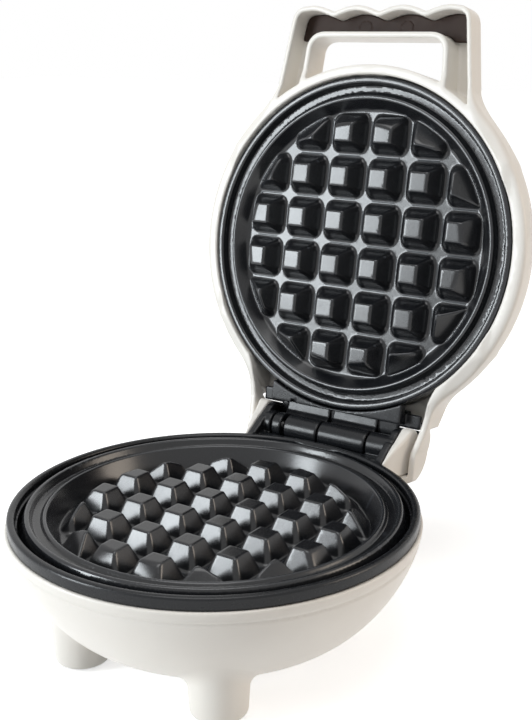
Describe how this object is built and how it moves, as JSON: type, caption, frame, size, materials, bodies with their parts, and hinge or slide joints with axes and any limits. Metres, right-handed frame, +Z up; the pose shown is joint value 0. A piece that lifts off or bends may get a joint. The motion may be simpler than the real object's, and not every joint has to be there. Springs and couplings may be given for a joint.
{
  "type": "waffle maker",
  "caption": "Compact round waffle maker: a footed bowl base and a hinged domed lid with a loop handle, each holding a heated studded plate.",
  "frame": {"origin": "on the surface it stands on, under the middle of the open appliance's box", "axes": "+Z up, -Y towards the user, the hinge towards +Y, X across; the lid is stored open"},
  "size_m": [0.1236, 0.1698, 0.1882],
  "materials": {
    "cream_plastic": "satin-gloss moulded cream plastic",
    "black_plastic": "satin black moulded plastic",
    "brown_plastic": "matte dark brown plastic",
    "nonstick_casting": "cast aluminium under a charcoal non-stick coat",
    "grey_rubber": "matte grey rubber",
    "steel": "zinc-plated steel",
    "heater_sheath": "heat-tinted steel tube",
    "aluminium_sheet": "bright mill-finish sheet",
    "white_ceramic": "glazed white ceramic",
    "phenolic": "matte tan moulding",
    "lead_sleeve": "woven glass sleeve",
    "amber_lens": "clear amber lens"
  },
  "bodies": {
    "base": {"base_housing": "cream_plastic", "foot_pads": "grey_rubber", "base_screws": "steel", "base_bezel": "black_plastic", "base_plate": "nonstick_casting", "base_heater": "heater_sheath", "base_heater_beads": "white_ceramic", "base_heat_shield": "aluminium_sheet", "thermostat": "phenolic", "thermal_fuse": "white_ceramic", "terminal_block": "phenolic", "base_leads": "lead_sleeve", "cord_inlet": "grey_rubber", "hinge_pin": "steel"},
    "lid": {"lid_shell": "cream_plastic", "handle_insert": "brown_plastic", "handle_screws": "brown_plastic", "lid_frame": "black_plastic", "lid_frame_screws": "steel", "lid_plate": "nonstick_casting", "lid_plate_screws": "steel", "lid_heater": "heater_sheath", "lid_heater_beads": "white_ceramic", "lid_heat_shield": "aluminium_sheet", "lid_leads": "lead_sleeve", "indicator_lens": "amber_lens", "indicator_lamp": "amber_lens", "lamp_holder": "phenolic"}
  },
  "joints": [
    {"name": "lid_hinge", "type": "hinge", "parent": "base", "child": "lid", "pos_m": [0, 0.0425, 0.0462], "axis": [1, 0, 0], "range_deg": [0, 100.5]}
  ]
}
